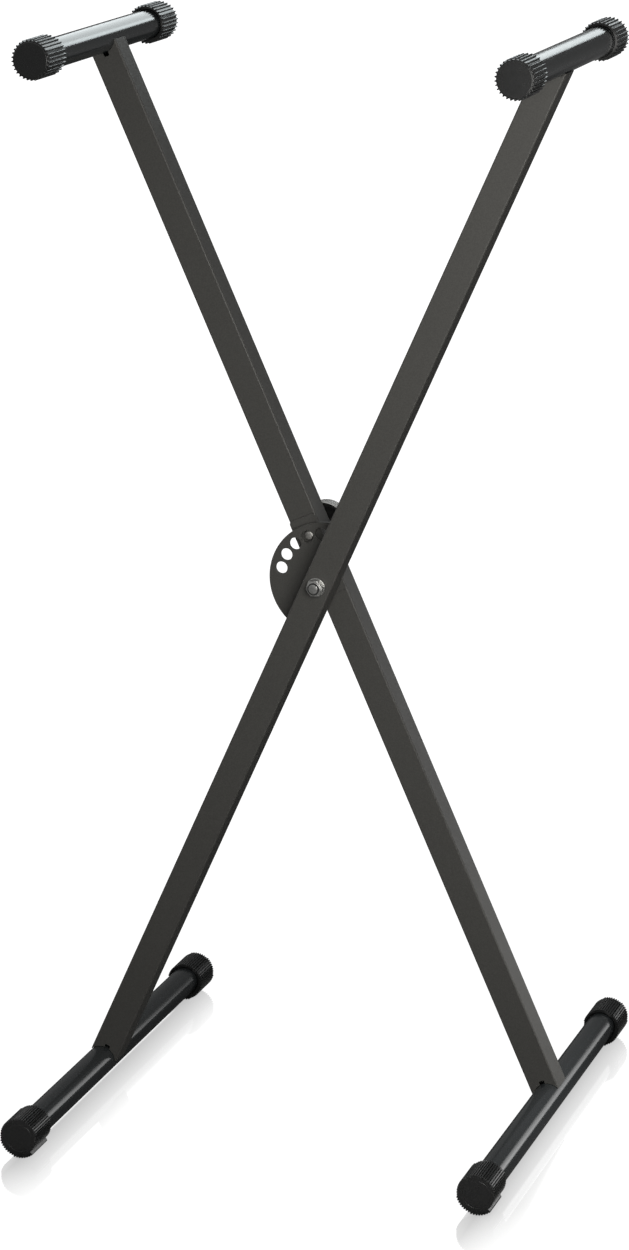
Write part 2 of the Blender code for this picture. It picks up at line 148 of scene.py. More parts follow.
def applyModifiers(piece):
    graph = bpy.context.evaluated_depsgraph_get()
    mesh = bpy.data.meshes.new_from_object(piece.evaluated_get(graph), depsgraph=graph)
    piece.modifiers.clear()
    piece.data = mesh


def cutAway(piece, tools, operation="DIFFERENCE"):
    for tool in tools:
        step = piece.modifiers.new("cut", "BOOLEAN")
        step.operation = operation
        step.solver = "EXACT"
        step.object = tool
        applyModifiers(piece)
    for tool in tools:
        bpy.data.objects.remove(tool)


def breakEdges(piece, width, segments=2, angle=50):
    step = piece.modifiers.new("broken edges", "BEVEL")
    step.width = width
    step.segments = segments
    step.limit_method = "ANGLE"
    step.angle_limit = math.radians(angle)
    applyModifiers(piece)


def evenShading(piece, sharp=32):
    piece.data.shade_smooth()
    piece.data.set_sharp_from_angle(angle=math.radians(sharp))
    step = piece.modifiers.new("even shading", "WEIGHTED_NORMAL")
    step.keep_sharp = True
    step.weight = 100
    applyModifiers(piece)


def dress(piece, body, node, finish):
    piece.data.materials.clear()
    piece.data.materials.append(finish)
    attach(piece, body)
    if node:
        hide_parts(node)
    return piece


# finishes

def newFinish(name, colour, roughness=0.5, metallic=0.0):
    finish = bpy.data.materials.new(name)
    finish.use_nodes = True
    shader = finish.node_tree.nodes["Principled BSDF"]
    shader.inputs["Base Color"].default_value = (*colour, 1)
    shader.inputs["Roughness"].default_value = roughness
    shader.inputs["Metallic"].default_value = metallic
    return finish, finish.node_tree, shader


def addNode(tree, kind, **values):
    node = tree.nodes.new(kind)
    for key, value in values.items():
        if key in node.inputs:
            node.inputs[key].default_value = value
        else:
            setattr(node, key, value)
    return node


def noiseAt(tree, scale, detail=2.0, stretch=(1, 1, 1)):
    # noise in the piece's own metres, so the grain keeps its size; scale is in lumps a metre
    place = addNode(tree, "ShaderNodeTexCoord")
    size = addNode(tree, "ShaderNodeMapping")
    size.inputs["Scale"].default_value = stretch
    noise = addNode(tree, "ShaderNodeTexNoise")
    noise.inputs["Scale"].default_value = scale
    noise.inputs["Detail"].default_value = detail
    tree.links.new(place.outputs["Object"], size.inputs["Vector"])
    tree.links.new(size.outputs["Vector"], noise.inputs["Vector"])
    return noise


def varyColour(tree, shader, noise, dark, light, low=0.35, high=0.65):
    ramp = addNode(tree, "ShaderNodeValToRGB")
    ramp.color_ramp.elements[0].position = low
    ramp.color_ramp.elements[0].color = (*dark, 1)
    ramp.color_ramp.elements[1].position = high
    ramp.color_ramp.elements[1].color = (*light, 1)
    tree.links.new(noise.outputs["Fac"], ramp.inputs["Fac"])
    tree.links.new(ramp.outputs["Color"], shader.inputs["Base Color"])


def varyRoughness(tree, shader, noise, low, high):
    spread = addNode(tree, "ShaderNodeMapRange")
    spread.inputs["To Min"].default_value = low
    spread.inputs["To Max"].default_value = high
    tree.links.new(noise.outputs["Fac"], spread.inputs["Value"])
    tree.links.new(spread.outputs["Result"], shader.inputs["Roughness"])


def addBump(tree, shader, noise, depth):
    bump = addNode(tree, "ShaderNodeBump")
    bump.inputs["Distance"].default_value = depth
    bump.inputs["Strength"].default_value = 1
    tree.links.new(noise.outputs["Fac"], bump.inputs["Height"])
    tree.links.new(bump.outputs["Normal"], shader.inputs["Normal"])


# dark and light are the two ends of a colour's spread; grain and patches are lumps a metre, depth is relief
legPaint = {"dark": (0.051, 0.050, 0.047), "light": (0.062, 0.061, 0.057), "grain": 900, "depth": 0.02 * mm,
            "specular": 0.2, "patches": 40, "roughness": (0.38, 0.46)}
tubePaint = {"colour": (0.020, 0.022, 0.023), "specular": 0.5, "patches": 60, "roughness": (0.14, 0.17)}
capPlastic = {"dark": (0.0075, 0.0077, 0.0077), "light": (0.011, 0.0113, 0.0113), "grain": 1100,
              "depth": 0.002 * mm, "specular": 0.42, "patches": 150, "roughness": (0.22, 0.30),
              "knobRoughness": (0.30, 0.40)}
steelFinish = {"dark": (0.38, 0.37, 0.35), "light": (0.46, 0.45, 0.43), "grain": 600, "stretch": (1, 6, 1),
               "roughness": (0.30, 0.38)}
knurlFinish = {"dark": (0.30, 0.30, 0.29), "light": (0.38, 0.38, 0.37), "grain": 500, "stretch": (1, 1, 1),
               "roughness": (0.2, 0.28)}
zincFinish = {"dark": (0.30, 0.30, 0.29), "light": (0.38, 0.38, 0.37), "grain": 500, "stretch": (1, 1, 1),
              "roughness": (0.34, 0.42)}
nylonFinish = {"dark": (0.026, 0.026, 0.027), "light": (0.034, 0.034, 0.035), "grain": 900,
               "depth": 0.01 * mm, "specular": 0.3, "roughness": 0.45}


def makeLegPaint():
    finish, tree, shader = newFinish("leg powder coat", legPaint["light"])
    shader.inputs["Specular IOR Level"].default_value = legPaint["specular"]
    grain = noiseAt(tree, legPaint["grain"], detail=3)
    varyColour(tree, shader, grain, legPaint["dark"], legPaint["light"])
    varyRoughness(tree, shader, noiseAt(tree, legPaint["patches"], detail=3), *legPaint["roughness"])
    addBump(tree, shader, grain, legPaint["depth"])
    return finish


def makeTubePaint():
    finish, tree, shader = newFinish("tube enamel", tubePaint["colour"])
    shader.inputs["Specular IOR Level"].default_value = tubePaint["specular"]
    varyRoughness(tree, shader, noiseAt(tree, tubePaint["patches"], detail=3), *tubePaint["roughness"])
    return finish


def makeCapPlastic(name, roughness):
    finish, tree, shader = newFinish(name, capPlastic["light"])
    shader.inputs["Specular IOR Level"].default_value = capPlastic["specular"]
    grain = noiseAt(tree, capPlastic["grain"])
    varyColour(tree, shader, grain, capPlastic["dark"], capPlastic["light"])
    varyRoughness(tree, shader, noiseAt(tree, capPlastic["patches"]), *roughness)
    addBump(tree, shader, grain, capPlastic["depth"])
    return finish


def makeMetal(name, values):
    finish, tree, shader = newFinish(name, values["light"], metallic=1.0)
    grain = noiseAt(tree, values["grain"], detail=3, stretch=values["stretch"])
    varyColour(tree, shader, grain, values["dark"], values["light"])
    varyRoughness(tree, shader, grain, *values["roughness"])
    return finish


def makeNylon():
    finish, tree, shader = newFinish("black nylon", nylonFinish["light"], nylonFinish["roughness"])
    shader.inputs["Specular IOR Level"].default_value = nylonFinish["specular"]
    grain = noiseAt(tree, nylonFinish["grain"])
    varyColour(tree, shader, grain, nylonFinish["dark"], nylonFinish["light"])
    addBump(tree, shader, grain, nylonFinish["depth"])
    return finish


finishes = {
    "painted_steel": makeLegPaint(),
    "satin_tube": makeTubePaint(),
    "black_plastic": makeCapPlastic("cap plastic", capPlastic["roughness"]),
    "knob_plastic": makeCapPlastic("knob plastic", capPlastic["knobRoughness"]),
    "bright_steel": makeMetal("turned steel", steelFinish),
    "knurled_chrome": makeMetal("knurled plating", knurlFinish),
    "zinc_plate": makeMetal("zinc plating", zincFinish),
    "nylon": makeNylon(),
}
for row in frame["record"]["subparts"]:
    node = frame["nodes"][row["node"]]
    node.data.materials.clear()
    node.data.materials.append(finishes[row["material_slot"]])
print("finishes made")


# legs

leg = {"corner": 1.4 * mm, "innerCorner": 0.5 * mm, "wall": 1.5 * mm, "edge": 0.25 * mm, "endShort": 5.2 * mm,
       "copeEdge": 0.1 * mm, "copeSteps": 128, "notchWide": 5 * mm, "notchRise": 3.2 * mm,
       "notchSink": 2 * mm, "notchCorner": 0.9 * mm}


def buildLeg(name, node, body, lean, topTube, footTube, extraCuts):
    low, high, middle = boxOf(node)
    side = high.y - low.y
    tubeLow, tubeHigh, topMiddle = boxOf(topTube)
    footMiddle = boxOf(footTube)[2]
    tubeR = (tubeHigh.x - tubeLow.x) / 2
    top, foot = (topMiddle - pivot).xz.length, -(footMiddle - pivot).xz.length
    ends = (foot + leg["endShort"], top - leg["endShort"])
    stand = Matrix.Rotation(math.pi / 2, 4, "X")
    half = side / 2
    outline = roundedBox(-half, half, -half, half, leg["corner"])
    piece = addPiece(name, lofted(name, [(y, outline) for y in ends]), stand)
    inner = half - leg["wall"]
    hollow = roundedBox(-inner, inner, -inner, inner, leg["innerCorner"], steps=4)
    hollowEnds = (ends[0] - 10 * over, ends[1] + 10 * over)
    tools = [addPiece("hollow", lofted("hollow", [(y, hollow) for y in hollowEnds]), stand)]
    for z, inward in ((top, -1), (foot, 1)):
        atTube = Matrix.Translation((0, 0, z))
        cope = turned("cope", softRod(tubeR + clear, -side, side, leg["copeEdge"]), leg["copeSteps"])
        tools.append(addPiece("cope", cope, atTube))
        wide = leg["notchWide"] / 2
        notch = roundedBox(-wide, wide, tubeR - leg["notchSink"], tubeR + leg["notchRise"],
                           leg["notchCorner"], steps=4)
        notch = [(x, inward * dz) for x, dz in notch]
        tools.append(addPiece("notch", lofted("notch", [(-side, notch), (side, notch)]), atTube))
    cutAway(piece, tools + extraCuts)
    breakEdges(piece, leg["edge"])
    evenShading(piece, sharp=40)
    piece.data.transform(Matrix.Translation((pivot.x, middle.y, pivot.z)) @ Matrix.Rotation(lean, 4, "Y"))
    return dress(piece, body, node, finishes["painted_steel"])


boltHoleR = pinHoleR = 4.3 * mm
cutReach = 30 * mm
pinReach = (boxOf("lock_pin")[2] - pivot).xz.length
housingLow, housingHigh, _ = boxOf("plunger_housing")
housingHoleR = (housingHigh.x - housingLow.x) / 2 + clear


def hole(radius, start, end, z=0.0, steps=64):
    return addPiece("hole", turned("hole", [(0, start), (0, end), (radius, end), (radius, start)], steps),
                    Matrix.Translation((0, 0, z)))


buildLeg("frontLegTube", "front_leg", "front_frame", frontLean, "right_support_tube", "left_foot_tube",
         [hole(boltHoleR, -cutReach, cutReach)])
buildLeg("rearLegTube", "rear_leg", "rear_frame", rearLean, "left_support_tube", "right_foot_tube",
         [hole(boltHoleR, -cutReach, cutReach), hole(pinHoleR, -cutReach, 0, pinReach),
          hole(housingHoleR, 0, cutReach, pinReach)])
print("legs built")


# cross tubes

crossTube = {"wall": 1.5 * mm, "edge": 0.3 * mm, "steps": 160}


def buildTube(node, body):
    low, high, middle = boxOf(node)
    outer = (high.x - low.x) / 2
    place = Matrix.Translation((middle.x, 0, middle.z))
    profile = softRing(outer - crossTube["wall"], outer, low.y, high.y, crossTube["edge"])
    piece = addPiece(node + "_fine", turned(node, profile, crossTube["steps"]), place)
    evenShading(piece)
    return dress(piece, body, node, finishes["satin_tube"])


for node, body in (("right_support_tube", "front_frame"), ("left_foot_tube", "front_frame"),
                   ("left_support_tube", "rear_frame"), ("right_foot_tube", "rear_frame")):
    buildTube(node, body)
print("cross tubes built")


# caps

cap = {"endWall": 2.2 * mm, "mouthR": 13.9 * mm, "mouthDeep": 3.2 * mm, "mouthEdge": 0.3 * mm,
       "bevelSteps": 3}
supportCap = {"ribs": 30, "crestR": 16.8 * mm, "depth": 1.4 * mm, "bevel": 0.7 * mm, "discR": 14.4 * mm,
              "discRaise": 1.0 * mm, "discSink": 0.5 * mm, "discEdge": 0.5 * mm}
footCap = {"steps": 6, "ribsEach": 8, "largestR": 18.3 * mm, "fall": 0.6 * mm, "depth": 1.1 * mm,
           "bevel": 0.45 * mm, "grooveR": 11.5 * mm, "grooveWide": 0.6 * mm, "grooveDeep": 0.12 * mm}
# half of a rib, from its crest to the valley: sideways in mm, and the share of the depth it has dropped
supportRib = [(0, 0), (0.24, 0.04), (0.44, 0.16), (0.58, 0.38), (0.64, 0.66), (0.72, 0.90), (0.90, 1)]
footRib = [(0.46, 0), (0.58, 0.12), (0.98, 1)]


def ribOutline(radii, ribsEach, depth, halfRib, first, inset=0.0):
    # ribs clockwise from the first angle, a run of them for each crest radius
    pitch = math.tau / (len(radii) * ribsEach)
    points = []
    for run, radius in enumerate(radii):
        for rib in range(ribsEach):
            centre = first - (run * ribsEach + rib + 0.5) * pitch
            sides = [(-wide, drop) for wide, drop in reversed(halfRib)]
            sides += [(wide, drop) for wide, drop in halfRib if wide or halfRib[0][0]]
            for wide, drop in sides:
                r = radius - inset - depth * drop
                points.append(polar(r, centre - wide * mm / radius))
    return points


def boreCutter(tubeR, length):
    bore, mouth, end = tubeR + clear, cap["mouthR"], length - cap["endWall"] - clear
    profile = [(0, -clear), (0, end + 10 * over), (mouth, end + 10 * over), (mouth, end - cap["mouthDeep"]),
               (bore, end - cap["mouthDeep"]), (bore, -clear)]
    return turned("bore", profile)


def grooveCutter(faceY):
    # the shallow ring in a foot cap's end face
    half, deep, r = footCap["grooveWide"] / 2, footCap["grooveDeep"], footCap["grooveR"]
    groove = [(r, faceY - over)]
    groove += [(x, faceY + (y - faceY) * deep / half) for x, y in arc(r + half, faceY, half, 180, 0, 6)]
    groove += [(r + 2 * half, faceY - over)]
    return turned("groove", groove)


def buildCap(node, body, kind):
    low, high, middle = boxOf(node)
    length = high.y - low.y
    front = middle.y < 0
    tube = node.replace("_cap", "_tube").replace("_front", "").replace("_back", "")
    tubeLow, tubeHigh, tubeMiddle = boxOf(tube)
    tubeR = (tubeHigh.x - tubeLow.x) / 2
    faceY = -cap["endWall"] - clear
    mouthY = faceY + length
    if kind == "support":
        first = math.pi / 2 + math.pi / supportCap["ribs"]
        ribs = ([supportCap["crestR"]], supportCap["ribs"], supportCap["depth"], supportRib, first)
        shoulder = faceY + supportCap["discRaise"]
        bevel = supportCap["bevel"]
    else:
        pitch = math.tau / footCap["steps"] / footCap["ribsEach"]
        radii = [footCap["largestR"] - footCap["fall"] * i for i in range(footCap["steps"])]
        # a rib of the largest run points down
        first = -math.pi / 2 + (footCap["ribsEach"] // 2 + 1.5) * pitch
        ribs = (radii, footCap["ribsEach"], footCap["depth"], footRib, first)
        shoulder = faceY
        bevel = footCap["bevel"]
    stations = []
    for i in range(cap["bevelSteps"] + 1):
        angle = math.pi / 2 * i / cap["bevelSteps"]
        inset = bevel * (1 - math.sin(angle))
        stations.append((shoulder + bevel * (1 - math.cos(angle)), ribOutline(*ribs, inset)))
    stations += [(mouthY - cap["mouthEdge"], ribOutline(*ribs)),
                 (mouthY, ribOutline(*ribs, cap["mouthEdge"]))]
    piece = addPiece(node + "_fine", lofted(node, stations))
    cutters = [addPiece("bore", boreCutter(tubeR, length))]
    if kind == "support":
        r, edge, sink = supportCap["discR"], supportCap["discEdge"], shoulder + supportCap["discSink"]
        endDisc = [(0, faceY), (0, sink), (r, sink)] + arc(r - edge, faceY + edge, edge, 0, -90, 4)
        cutAway(piece, [addPiece("disc", turned("disc", endDisc))], "UNION")
    else:
        cutters.append(addPiece("groove", grooveCutter(faceY)))
    cutAway(piece, cutters)
    evenShading(piece, sharp=35)
    end = tubeLow.y if front else tubeHigh.y
    turn = Matrix.Identity(4) if front else Matrix.Rotation(math.pi, 4, "Z")
    piece.data.transform(Matrix.Translation((tubeMiddle.x, end, tubeMiddle.z)) @ turn)
    return dress(piece, body, node, finishes["black_plastic"])


for side, other, frameBody in (("right", "left", "front_frame"), ("left", "right", "rear_frame")):
    for end in ("front", "back"):
        buildCap(f"{side}_support_cap_{end}", frameBody, "support")
        buildCap(f"{other}_foot_cap_{end}", f"{other}_{end}_foot", "foot")
print("caps built")


# lock disc and pivot plate

disc = {"radius": 50 * mm, "chord": 11 * mm, "steps": 180, "edge": 0.3 * mm, "holeR": 5.25 * mm,
        "holeReach": 40 * mm, "pitch": 18.2, "holes": (-1, 0, 1, 2, 3)}


def buildDisc():
    low, high, middle = boxOf("lock_disc")
    opening = math.degrees(math.acos(disc["chord"] / disc["radius"]))
    outline = arc(0, 0, disc["radius"], opening, 360 - opening, disc["steps"])
    piece = addPiece("lockDiscFine", lofted("lock disc", [(low.y, outline), (high.y, outline)]))
    tools = [hole(boltHoleR, low.y - over, high.y + over)]
    for number in disc["holes"]:
        angle = frontLean - rearLean + math.radians(disc["pitch"] * number)
        tool = hole(disc["holeR"], low.y - over, high.y + over)
        x, z = -disc["holeReach"] * math.sin(angle), disc["holeReach"] * math.cos(angle)
        tool.data.transform(Matrix.Translation((x, 0, z)))
        tools.append(tool)
    cutAway(piece, tools)
    breakEdges(piece, disc["edge"], segments=3)
    evenShading(piece, sharp=40)
    piece.data.transform(Matrix.Translation((pivot.x, 0, pivot.z)) @ Matrix.Rotation(frontLean, 4, "Y"))
    return dress(piece, "front_frame", "lock_disc", finishes["painted_steel"])


buildDisc()


plate = {"half": 12.5 * mm, "down": 13.8 * mm, "up": 56.4 * mm, "corner": 3 * mm, "edge": 0.25 * mm}


def buildPlate():
    low, high, middle = boxOf("pivot_plate")
    outline = roundedBox(-plate["half"], plate["half"], -plate["down"], plate["up"], plate["corner"])
    piece = addPiece("pivotPlateFine", lofted("pivot plate", [(low.y, outline), (high.y, outline)]))
    cutAway(piece, [hole(boltHoleR, low.y - over, high.y + over),
                    hole(pinHoleR, low.y - over, high.y + over, pinReach)])
    breakEdges(piece, plate["edge"])
    evenShading(piece, sharp=40)
    piece.data.transform(Matrix.Translation((pivot.x, 0, pivot.z)) @ Matrix.Rotation(rearLean, 4, "Y"))
    return dress(piece, "rear_frame", "pivot_plate", finishes["painted_steel"])


buildPlate()
print("disc and plate built")


# bolt, nut and washers

bolt = {"r": 4 * mm, "chamfer": 0.35 * mm, "acrossFlats": 13 * mm, "turn": 5, "hexChamfer": 0.55 * mm,
        "hexWaist": 0.97, "hexOver": 0.2 * mm}
nut = {"collarR": 6 * mm, "collarWall": 0.7 * mm, "collarThick": 1.7 * mm, "collarEdge": 0.4 * mm}
washer = {"r": 8 * mm, "edge": 0.35 * mm, "thrustR": 12 * mm, "thrustEdge": 0.2 * mm}


def hexPiece(name, acrossFlats, start, end, bothEnds, turn):
    # hexagon bar with the corners turned off at its ends
    corner = acrossFlats / 2 / math.cos(math.pi / 6)
    outline = [polar(corner, math.radians(turn + 60 * i)) for i in range(6)]
    piece = addPiece(name, lofted(name, [(start, outline), (end, outline)]))
    drop, waist = bolt["hexChamfer"], acrossFlats / 2 * bolt["hexWaist"]
    outside = corner + bolt["hexOver"]
    profile = [(0, start), (waist, start), (outside, start + drop)]
    profile += [(outside, end - drop), (waist, end)] if bothEnds else [(outside, end)]
    profile += [(0, end)]
    cutAway(piece, [addPiece("turning", turned("turning", profile))], "INTERSECT")
    return piece


def placeAt(piece, x, z):
    piece.data.transform(Matrix.Translation((x, 0, z)))


def buildWasher(node, body, slot, outer, edge):
    low, high, middle = boxOf(node)
    piece = addPiece(node + "_fine", turned(node, softRing(boltHoleR, outer, low.y, high.y, edge)))
    evenShading(piece)
    placeAt(piece, middle.x, middle.z)
    return dress(piece, body, node, finishes[slot])


def buildBolt():
    low, high, middle = boxOf("pivot_bolt")
    headStart = boxOf("back_washer")[1].y + clear
    piece = hexPiece("pivotBoltFine", bolt["acrossFlats"], headStart, high.y, False, bolt["turn"])
    # turned end for end, so that the chamfered corners are on the head's outer side
    headMiddle = Matrix.Translation((0, (headStart + high.y) / 2, 0))
    piece.data.transform(headMiddle @ Matrix.Rotation(math.pi, 4, "Z") @ headMiddle.inverted())
    r, c, sunk = bolt["r"], bolt["chamfer"], headStart + over
    shank = [(0, low.y), (0, sunk), (r, sunk), (r, low.y + c)] + arc(r - c, low.y + c, c, 0, -90, 3)[1:]
    cutAway(piece, [addPiece("shank", turned("shank", shank))], "UNION")
    evenShading(piece)
    placeAt(piece, pivot.x, pivot.z)
    return dress(piece, "front_frame", "pivot_bolt", finishes["zinc_plate"])


def buildNut():
    low, high, middle = boxOf("pivot_nut")
    hexStart = low.y + nut["collarThick"]
    piece = hexPiece("pivotNutFine", bolt["acrossFlats"], hexStart, high.y, True, bolt["turn"])
    r, edge, sunk = nut["collarR"], nut["collarEdge"], hexStart + over
    collar = [(0, low.y), (0, sunk), (r, sunk)] + arc(r - edge, low.y + edge, edge, 0, -90, 4)
    cutAway(piece, [addPiece("collar", turned("collar", collar))], "UNION")
    cutAway(piece, [hole(boltHoleR, low.y - over, high.y + over),
                    hole(r - nut["collarWall"], low.y - over, hexStart)])
    evenShading(piece)
    placeAt(piece, pivot.x, pivot.z)
    return dress(piece, "front_frame", "pivot_nut", finishes["zinc_plate"])


buildWasher("front_washer", "front_frame", "zinc_plate", washer["r"], washer["edge"])
buildWasher("back_washer", "front_frame", "zinc_plate", washer["r"], washer["edge"])
buildWasher("thrust_washer", "rear_frame", "nylon", washer["thrustR"], washer["thrustEdge"])
buildBolt()
buildNut()
print("pivot built")


# plunger

plunger = {"housingR": 7 * mm, "boreR": 5.5 * mm, "endWall": 3 * mm, "lip": 0.3 * mm, "endChamfer": 0.5 * mm,
           "threadFrom": 8 * mm, "threadPitch": 1 * mm, "threadDepth": 0.25 * mm, "nutAcrossFlats": 19 * mm,
           "rodR": 3 * mm, "pinR": 4 * mm, "pinChamfer": 0.7 * mm, "collarR": 5.2 * mm,
           "collarBack": 18 * mm, "collarThick": 0.6 * mm}  # so thin, the collar stays off the spring
# one turn of the thread, as shares of its pitch and depth, and the pin's tip, as shares of its chamfer
threadShape = [(0.1, 0), (0.35, 0), (0.6, 1), (0.75, 1)]
tipShape = [(0, 1), (0.35, 0.3), (1, 0)]


def buildHousing():
    low, high, middle = boxOf("plunger_housing")
    r, stop, lip = plunger["housingR"], high.y - plunger["endWall"], plunger["lip"]
    inner = plunger["rodR"] + clear
    y = high.y - plunger["endChamfer"]
    profile = [(plunger["boreR"], low.y), (plunger["boreR"], stop), (inner, stop), (inner, high.y - lip),
               (inner + lip, high.y), (r - plunger["endChamfer"], high.y)]
    pitch, depth = plunger["threadPitch"], plunger["threadDepth"]
    while y - pitch > low.y + plunger["threadFrom"]:
        profile += [(r - depth * drop, y - along * pitch) for along, drop in threadShape]
        y -= pitch
    profile += [(r, y), (r, low.y)]
    piece = addPiece("housingFine", turned("housing", profile))
    evenShading(piece)
    placeAt(piece, middle.x, middle.z)
    return dress(piece, "rear_frame", "plunger_housing", finishes["bright_steel"])


def buildHousingNut():
    low, high, middle = boxOf("housing_nut")
    turn = bolt["turn"] - math.degrees(rearLean)
    piece = hexPiece("housingNutFine", plunger["nutAcrossFlats"], low.y, high.y, True, turn)
    cutAway(piece, [hole(plunger["housingR"] + clear, low.y - over, high.y + over)])
    evenShading(piece)
    placeAt(piece, middle.x, middle.z)
    return dress(piece, "rear_frame", "housing_nut", finishes["zinc_plate"])


def buildPin():
    low, high, middle = boxOf("lock_pin")
    r, c, rod, collarR = plunger["pinR"], plunger["pinChamfer"], plunger["rodR"], plunger["collarR"]
    collarFront = low.y + plunger["collarBack"]
    collarEnd = collarFront + plunger["collarThick"]
    profile = [(0, low.y), (0, high.y), (rod, high.y), (rod, collarEnd), (collarR, collarEnd),
               (collarR, collarFront), (r, collarFront)]
    profile += [(r - c * inward, low.y + c * up) for inward, up in tipShape]
    piece = addPiece("lockPinFine", turned("lock pin", profile))
    evenShading(piece)
    placeAt(piece, middle.x, middle.z)
    return dress(piece, "plunger", "lock_pin", finishes["bright_steel"])


knob = {"r": 20 * mm, "boreR": 18.7 * mm, "boreEdge": 0.3 * mm, "chamfer": 0.6 * mm, "knurls": 64,
        "pointsEach": 8, "rings": 52, "depth": 0.4 * mm, "steepness": 2.2}
core = {"edge": 0.4 * mm, "recessR": 15.5 * mm, "web": 3.4 * mm, "dishR": 12 * mm, "dishDepth": 0.8 * mm}


def knurlRise(angle, y):
    # 0 in the crossing grooves, 1 on the flats of the diamonds
    u = angle / math.tau * knob["knurls"]
    v = y / (math.tau * knob["r"] / knob["knurls"])
    waves = [1 - abs(((u + sign * v) % 1) * 2 - 1) for sign in (1, -1)]
    return min(1, knob["steepness"] * min(waves))


def buildKnobRing():
    low, high, middle = boxOf("knob_ring")
    around, along = knob["knurls"] * knob["pointsEach"], knob["rings"]
    c, r, bore, edge = knob["chamfer"], knob["r"], knob["boreR"], knob["boreEdge"]
    bm = bmesh.new()
    rings = []

    def addRing(y, radiusAt):
        ring = []
        for i in range(around):
            x, z = polar(radiusAt(math.tau * i / around), math.tau * i / around)
            ring.append(bm.verts.new((x, y, z)))
        rings.append(ring)

    addRing(low.y + edge, lambda angle: bore)
    addRing(low.y, lambda angle: bore + edge)
    addRing(low.y, lambda angle: r - c)
    for j in range(along + 1):
        y = low.y + c + (high.y - low.y - 2 * c) * j / along
        share = min(1, min(j, along - j) / 2)  # the knurls run out over two rings at each end
        addRing(y, lambda angle: r - knob["depth"] * (1 - knurlRise(angle, y - low.y)) * share)
    addRing(high.y, lambda angle: r - c)
    addRing(high.y, lambda angle: bore + edge)
    addRing(high.y - edge, lambda angle: bore)
    for ring, following in zip(rings, rings[1:] + rings[:1]):
        for i in range(around):
            k = (i + 1) % around
            bm.faces.new((ring[i], ring[k], following[k], following[i]))
    piece = addPiece("knobRingFine", meshFrom("knob ring", bm, 25))
    evenShading(piece, sharp=25)
    placeAt(piece, middle.x, middle.z)
    return dress(piece, "plunger", "knob_ring", finishes["knurled_chrome"])


def buildKnobCore():
    low, high, middle = boxOf("knob_core")
    pinEnd = boxOf("lock_pin")[1].y + clear
    r, rod, floor = knob["boreR"] - clear, plunger["rodR"] + clear, pinEnd - clear - core["web"]
    recess, dish, e = core["recessR"], core["dishR"], core["edge"]
    bottom = high.y - core["dishDepth"]
    profile = [(0, pinEnd), (0, bottom), (dish - core["dishDepth"] - e, bottom), (dish - e, high.y - e / 2),
               (dish, high.y)]
    profile += arc(r - e, high.y - e, e, 90, 0, 3) + arc(r - e, low.y + e, e, 0, -90, 3)
    profile += arc(recess + e, low.y + e, e, 270, 180, 3)
    profile += [(recess, floor), (rod, floor), (rod, pinEnd)]
    piece = addPiece("knobCoreFine", turned("knob core", profile))
    evenShading(piece)
    placeAt(piece, middle.x, middle.z)
    return dress(piece, "plunger", "knob_core", finishes["knob_plastic"])


buildHousing()
buildHousingNut()
buildPin()
buildKnobRing()
buildKnobCore()


def smoothNode(node, sharp=30):
    # a carried-over node keeps its shape and gets smooth round faces
    mesh = frame["nodes"][node].data
    mesh.shade_smooth()
    mesh.set_sharp_from_angle(angle=math.radians(sharp))


for row in frame["record"]["subparts"]:
    if not frame["nodes"][row["node"]].hide_render:
        smoothNode(row["node"])
print("plunger built")


# floor, lights and camera

look = {"azimuth": 17.871, "elevation": 14.776, "roll": 0.027, "distance": 3.46746,
        "aim": (0.00279, -0.0286, 0.42691), "focal": 4117.74, "centre": (319.41, 629.60)}
photoSize = (629, 1250)


def buildCamera():
    azimuth, elevation, roll = (math.radians(look[key]) for key in ("azimuth", "elevation", "roll"))
    back = Vector((math.sin(azimuth) * math.cos(elevation), -math.cos(azimuth) * math.cos(elevation),
                   math.sin(elevation)))
    right = Vector((0, 0, 1)).cross(back).normalized()
    up = back.cross(right)
    right, up = right * math.cos(roll) + up * math.sin(roll), up * math.cos(roll) - right * math.sin(roll)
    data = bpy.data.cameras.new("camera")
    camera = bpy.data.objects.new("camera", data)
    bpy.context.scene.collection.objects.link(camera)
    turn = Matrix((right, up, back)).transposed().to_4x4()
    camera.matrix_world = Matrix.Translation(Vector(look["aim"]) + back * look["distance"]) @ turn
    data.sensor_fit = "VERTICAL"
    data.sensor_height = 36
    data.lens = look["focal"] / photoSize[1] * data.sensor_height
    data.shift_x = (photoSize[0] / 2 - look["centre"][0]) / photoSize[1]
    data.shift_y = (look["centre"][1] - photoSize[1] / 2) / photoSize[1]
    bpy.context.scene.camera = camera


# near the object nearWhite is the share of plain white that the camera sees, and far away it is all
floorLook = {"size": 16, "down": 0.2 * mm, "filmDown": 0.1 * mm, "shade": 0.9, "bounce": 0.06, "white": 1.16,
             "nearWhite": 0.88, "whiteReach": (0.35, 1.1), "frontY": (-0.225, -0.245), "frontBounce": 0.3,
             "roughness": 0.05, "mirror": 0.5, "footX": 0.1992, "fadeOver": 0.052, "glossReach": (0.3, 0.42)}


def mathOf(tree, operation, *values):
    # a math node over outputs and plain numbers
    node = addNode(tree, "ShaderNodeMath", operation=operation)
    for socket, value in zip(node.inputs, values):
        if isinstance(value, float):
            socket.default_value = value
        else:
            tree.links.new(value, socket)
    return node.outputs["Value"]


def ramped(tree, value, fromMin, fromMax, toMin, toMax):
    spread = addNode(tree, "ShaderNodeMapRange")
    for key, limit in (("From Min", fromMin), ("From Max", fromMax), ("To Min", toMin), ("To Max", toMax)):
        spread.inputs[key].default_value = limit
    tree.links.new(value, spread.inputs["Value"])
    return spread.outputs["Result"]


def blended(tree, share, first, second):
    mix = addNode(tree, "ShaderNodeMixShader")
    tree.links.new(share, mix.inputs["Fac"])
    tree.links.new(first.outputs[0], mix.inputs[1])
    tree.links.new(second.outputs[0], mix.inputs[2])
    return mix


